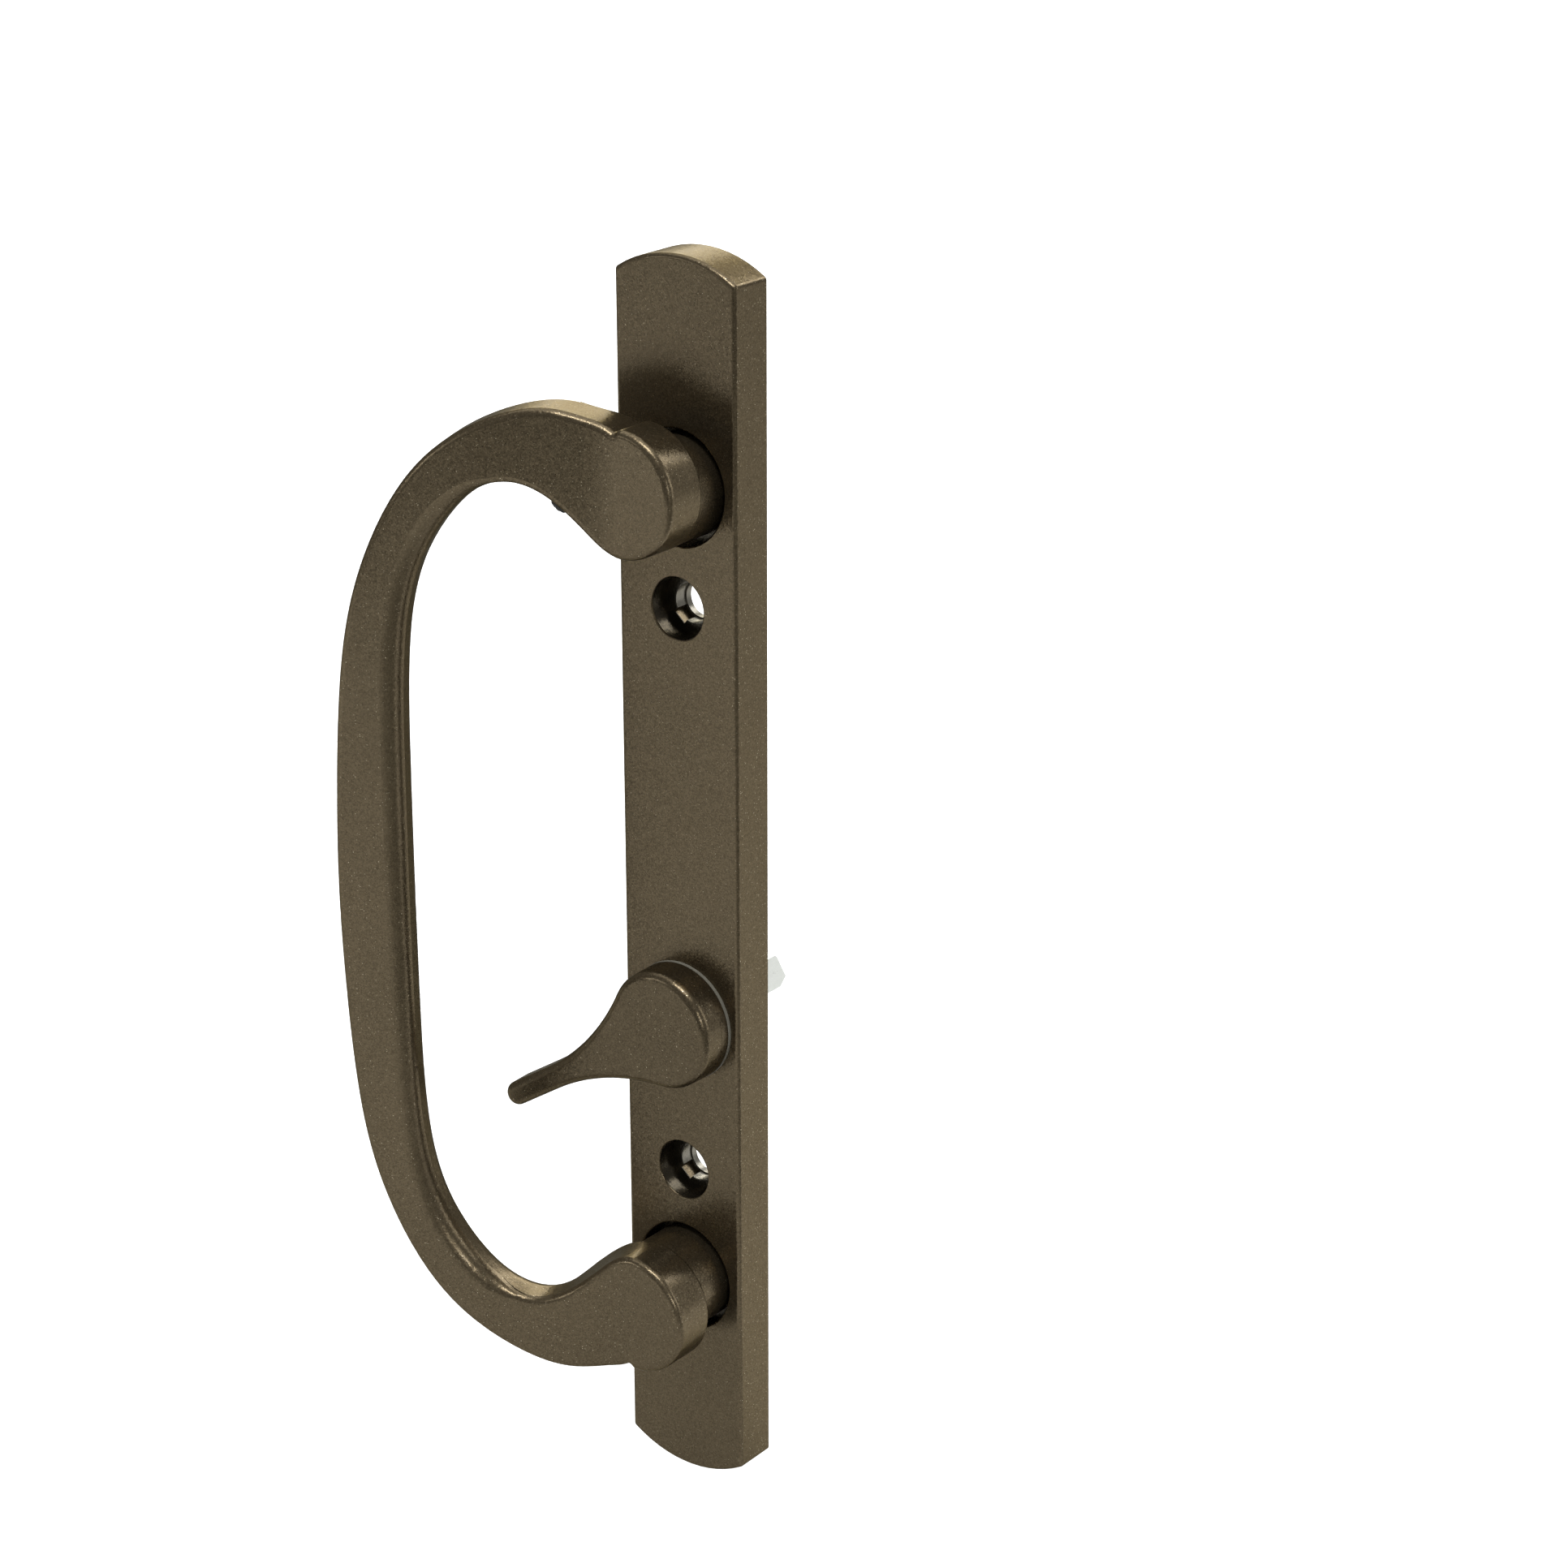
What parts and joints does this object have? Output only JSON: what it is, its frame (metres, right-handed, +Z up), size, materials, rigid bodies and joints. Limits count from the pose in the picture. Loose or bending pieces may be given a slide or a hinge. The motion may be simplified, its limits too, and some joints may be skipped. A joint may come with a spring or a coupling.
{
  "type": "sliding patio door pull",
  "caption": "Sliding patio door inside pull: long narrow plate with arched ends, a D-shaped grip that leans out to one side, and a finger thumb-turn with a flat tailpiece behind.",
  "frame": {"origin": "midway between the two screw holes, on the plane of the door face that the plate's rim rests on", "axes": "+X to the right for a user who faces the door, +Z up, +Y into the door; the room is towards -Y and the grip reaches towards -X"},
  "size_m": [0.062, 0.0586, 0.215],
  "materials": {
    "bronze_paint": "satin metallic",
    "pale_plastic": "matte",
    "zinc_steel": "bright zinc plate"
  },
  "bodies": {
    "pull": {"escutcheon_plate": "bronze_paint", "pull_handle": "bronze_paint", "grip_screw_upper": "zinc_steel", "grip_screw_lower": "zinc_steel", "thumb_turn_washer": "pale_plastic", "disc_spring": "zinc_steel"},
    "thumb_turn": {"thumb_turn_lever": "bronze_paint", "tailpiece": "zinc_steel", "cross_pin": "zinc_steel", "retaining_clip": "zinc_steel"}
  },
  "joints": [
    {"name": "thumb_turn", "type": "hinge", "parent": "pull", "child": "thumb_turn", "pos_m": [0, -0.011, -0.022], "axis": [0, 1, 0], "range_deg": [0, 90]}
  ]
}
